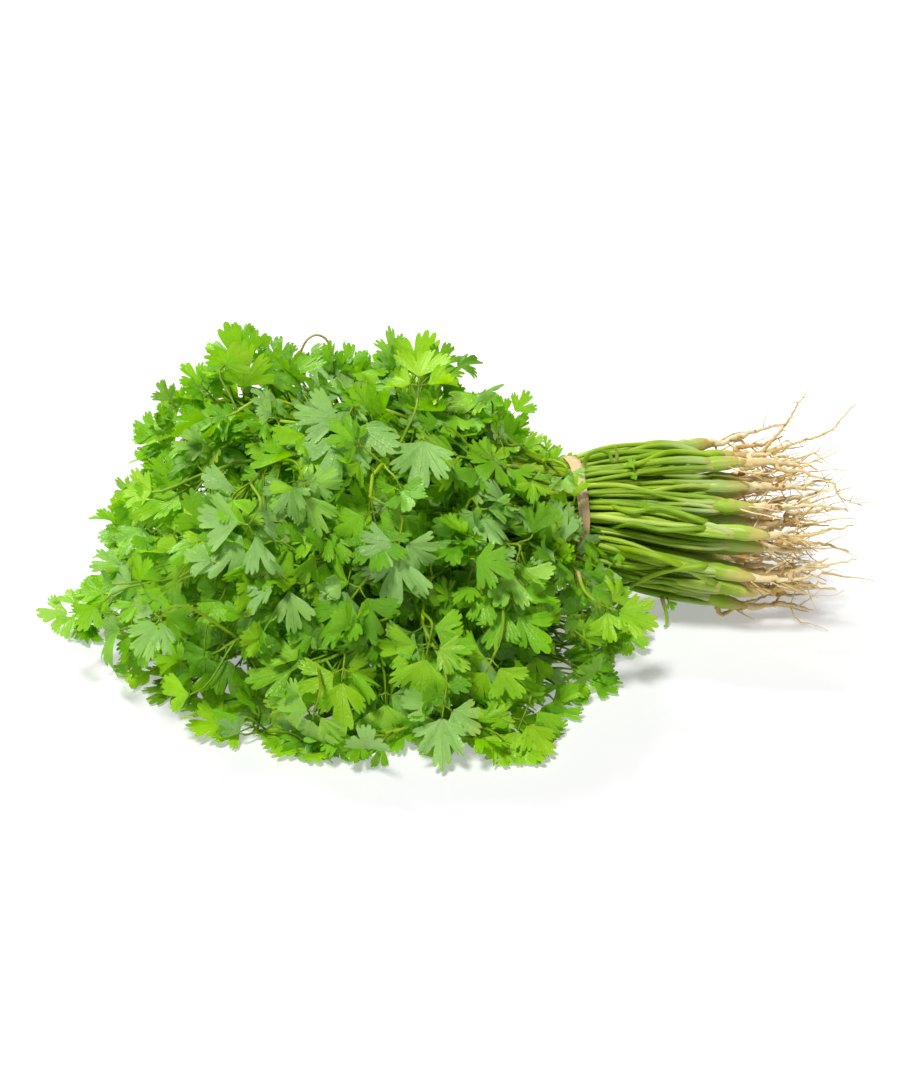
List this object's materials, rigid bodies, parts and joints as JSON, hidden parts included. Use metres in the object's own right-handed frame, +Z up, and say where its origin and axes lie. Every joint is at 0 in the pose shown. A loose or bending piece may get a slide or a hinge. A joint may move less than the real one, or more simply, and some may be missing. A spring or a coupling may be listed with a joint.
{
  "type": "coriander bunch",
  "caption": "Bunch of fresh coriander pulled with its roots, lying on its side, its stalks tied once with a flat fibre strip.",
  "frame": {"origin": "middle of the bottom of the whole bunch, on the surface it lies on", "axes": "+X towards the roots, the leafy head at -X; +Y away from the picture's camera; +Z up"},
  "size_m": [0.3218, 0.2176, 0.1313],
  "materials": {
    "leaf_green": "fresh leaf, soft satin, lets light through",
    "stem_green": "fresh ribbed stalk, satin, pale at the crown",
    "root_tan": "matt, fibrous, soil-stained near the crown",
    "tie_fibre": "dry plant fibre, matt"
  },
  "bodies": {
    "root": {"plant_01": "leaf_green", "plant_02": "leaf_green", "plant_03": "leaf_green", "plant_04": "leaf_green", "plant_05": "leaf_green", "plant_06": "leaf_green", "plant_07": "leaf_green", "plant_08": "leaf_green", "plant_09": "leaf_green", "plant_10": "leaf_green", "plant_11": "leaf_green", "plant_12": "leaf_green", "plant_13": "leaf_green", "plant_14": "leaf_green", "plant_15": "leaf_green", "plant_16": "leaf_green", "plant_17": "leaf_green", "plant_18": "leaf_green", "plant_19": "leaf_green", "plant_20": "leaf_green", "plant_21": "leaf_green", "plant_22": "leaf_green", "plant_23": "leaf_green", "plant_24": "leaf_green", "plant_25": "leaf_green", "plant_26": "leaf_green", "plant_27": "leaf_green", "plant_28": "leaf_green", "plant_29": "leaf_green", "plant_30": "leaf_green", "plant_31": "leaf_green", "plant_32": "leaf_green", "plant_33": "leaf_green", "plant_34": "leaf_green", "plant_35": "leaf_green", "plant_36": "leaf_green", "tie_strip": "tie_fibre"}
  },
  "joints": []
}
